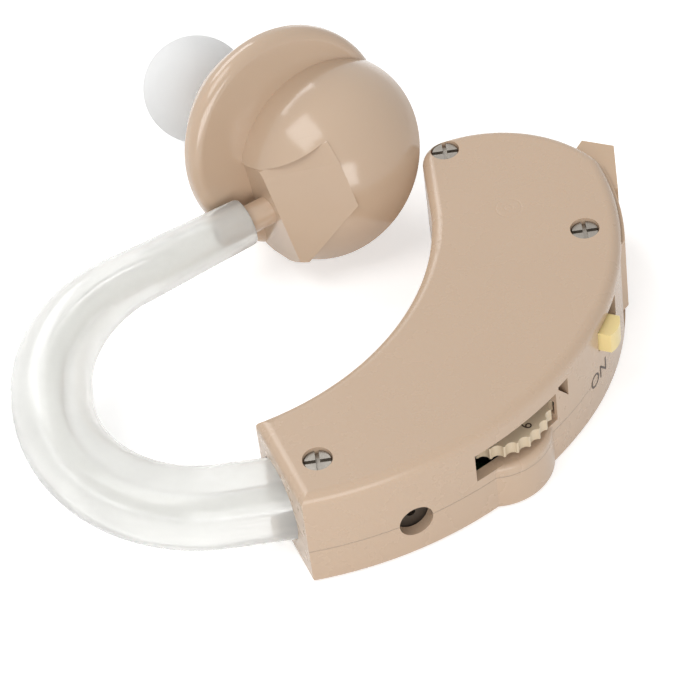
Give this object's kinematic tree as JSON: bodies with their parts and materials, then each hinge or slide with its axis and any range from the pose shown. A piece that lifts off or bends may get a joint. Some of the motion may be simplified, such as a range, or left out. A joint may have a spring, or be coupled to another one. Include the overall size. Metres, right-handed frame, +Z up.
{
  "type": "behind the ear hearing aid",
  "caption": "Curved behind-the-ear sound amplifier with a battery door, volume wheel and slide switch, and a clear ear hook that carries a round in-ear piece.",
  "frame": {"origin": "on the flat rest side of the case, under its middle", "axes": "+Z up from the rest side through the case thickness, +X from the narrow end towards the spine, +Y towards the battery end"},
  "size_m": [0.0542, 0.0617, 0.0197],
  "materials": {
    "case_beige": "glossy moulded",
    "door_beige": "glossy moulded",
    "steel": "plated",
    "cell_metal": "bright",
    "contact_brass": "sprung strip",
    "board_green": "solder mask",
    "chip_black": "moulded",
    "capacitor_tan": "ceramic",
    "capsule_metal": "plain",
    "rubber_black": "soft",
    "wheel_beige": "moulded, printed digits",
    "knob_yellow": "moulded",
    "tube_clear": "clear soft plastic",
    "silicone_white": "translucent"
  },
  "bodies": {
    "case": {"case_upper": "case_beige", "case_lower": "case_beige", "case_screws": "steel", "door_hinge_pin": "steel", "battery_contact_positive": "contact_brass", "battery_contact_negative": "contact_brass", "circuit_board": "board_green", "amplifier_chip": "chip_black", "capacitors": "capacitor_tan", "microphone": "capsule_metal", "microphone_boot": "rubber_black", "receiver": "capsule_metal", "receiver_cushion": "rubber_black", "sound_spout": "steel", "volume_pot": "chip_black", "switch_body": "chip_black"},
    "door": {"battery_door": "door_beige", "button_cell": "cell_metal"},
    "wheel": {"volume_wheel": "wheel_beige", "wheel_axle": "steel"},
    "switch": {"switch_knob": "knob_yellow"},
    "hook": {"ear_hook_tube": "tube_clear"},
    "earpiece": {"earpiece_front": "case_beige", "earpiece_back": "case_beige", "ear_tip": "silicone_white"}
  },
  "joints": [
    {"name": "door_hinge", "type": "hinge", "parent": "case", "child": "door", "pos_m": [0.0107, 0.0068, 0.005], "axis": [0, 0, -1], "range_deg": [0, 85]},
    {"name": "wheel_turn", "type": "hinge", "parent": "case", "child": "wheel", "pos_m": [-0.0013, -0.0056, 0.0059], "axis": [0, 0, 1], "range_deg": [-135, 135]},
    {"name": "switch_slide", "type": "slide", "parent": "case", "child": "switch", "axis": [0.4431, 0.8965, 0], "range_m": [0, 0.002]},
    {"name": "hook_turn", "type": "hinge", "parent": "case", "child": "hook", "pos_m": [-0.0185, -0.011, 0.0044], "axis": [1, 0, 0], "range_deg": [-90, 90]},
    {"name": "earpiece_swivel", "type": "hinge", "parent": "hook", "child": "earpiece", "pos_m": [-0.0194, 0.01977, 0.00677], "axis": [0.9063, 0.4214, 0.0324], "range_deg": [-40, 20]}
  ]
}
